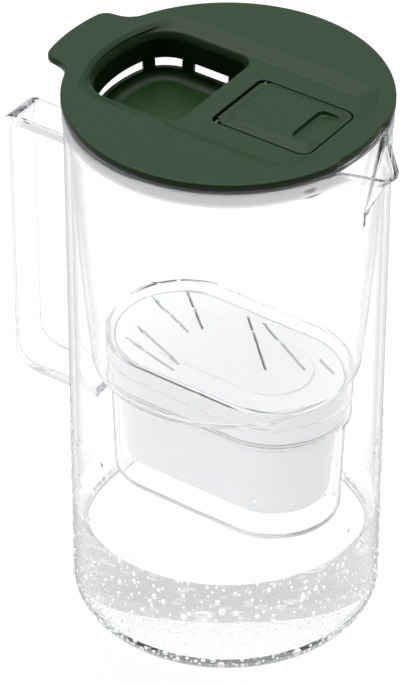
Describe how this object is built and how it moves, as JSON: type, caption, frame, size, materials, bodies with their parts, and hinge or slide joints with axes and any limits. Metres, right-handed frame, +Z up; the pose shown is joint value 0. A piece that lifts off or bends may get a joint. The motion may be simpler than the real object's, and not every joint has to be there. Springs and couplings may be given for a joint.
{
  "type": "water filter pitcher",
  "caption": "Water filter pitcher: clear round jug with a squared loop handle, clear funnel, oval filter cartridge, and a round lid with an open fill basin and a flip hatch.",
  "frame": {"origin": "centre of the jug's bottom face, at the table", "axes": "+X from the handle to the spout, +Y to the pourer's left, +Z up along the jug's axis"},
  "size_m": [0.211, 0.15, 0.281],
  "materials": {
    "clear_jug": "clear polished",
    "clear_handle": "clear polished",
    "clear_funnel": "clear polished",
    "cartridge_white": "satin",
    "seal_rubber": "matte",
    "mesh_plastic": "woven",
    "filter_grains": "granular",
    "lid_green": "satin",
    "hatch_green": "satin",
    "pin_steel": "brushed",
    "dial_plastic": "satin"
  },
  "bodies": {
    "jug": {"jug_body": "clear_jug", "jug_handle": "clear_handle"},
    "funnel_unit": {"funnel": "clear_funnel"},
    "cartridge": {"cartridge_cup": "cartridge_white", "cartridge_cover": "cartridge_white", "cartridge_seal": "seal_rubber", "upper_mesh": "mesh_plastic", "filter_media": "filter_grains", "lower_mesh": "mesh_plastic"},
    "lid": {"lid_shell": "lid_green", "splash_basin": "lid_green", "hatch_pin": "pin_steel", "dial_tray": "lid_green", "dial_hub": "lid_green"},
    "hatch": {"flip_hatch": "hatch_green"},
    "dial": {"reminder_dial": "dial_plastic"}
  },
  "joints": [
    {"name": "funnel_lift", "type": "slide", "parent": "jug", "child": "funnel_unit", "axis": [0, 0, 1], "range_m": [0, 0.22]},
    {"name": "cartridge_lift", "type": "slide", "parent": "funnel_unit", "child": "cartridge", "axis": [0, 0, 1], "range_m": [0, 0.1]},
    {"name": "lid_lift", "type": "slide", "parent": "funnel_unit", "child": "lid", "axis": [0, 0, 1], "range_m": [0, 0.1]},
    {"name": "hatch_hinge", "type": "hinge", "parent": "lid", "child": "hatch", "pos_m": [0.0066, 0, 0.2763], "axis": [0, -1, 0], "range_deg": [0, 95]},
    {"name": "dial_spin", "type": "hinge", "parent": "lid", "child": "dial", "pos_m": [0.0296, 0, 0.2646], "axis": [0, 0, 1], "continuous": true}
  ]
}
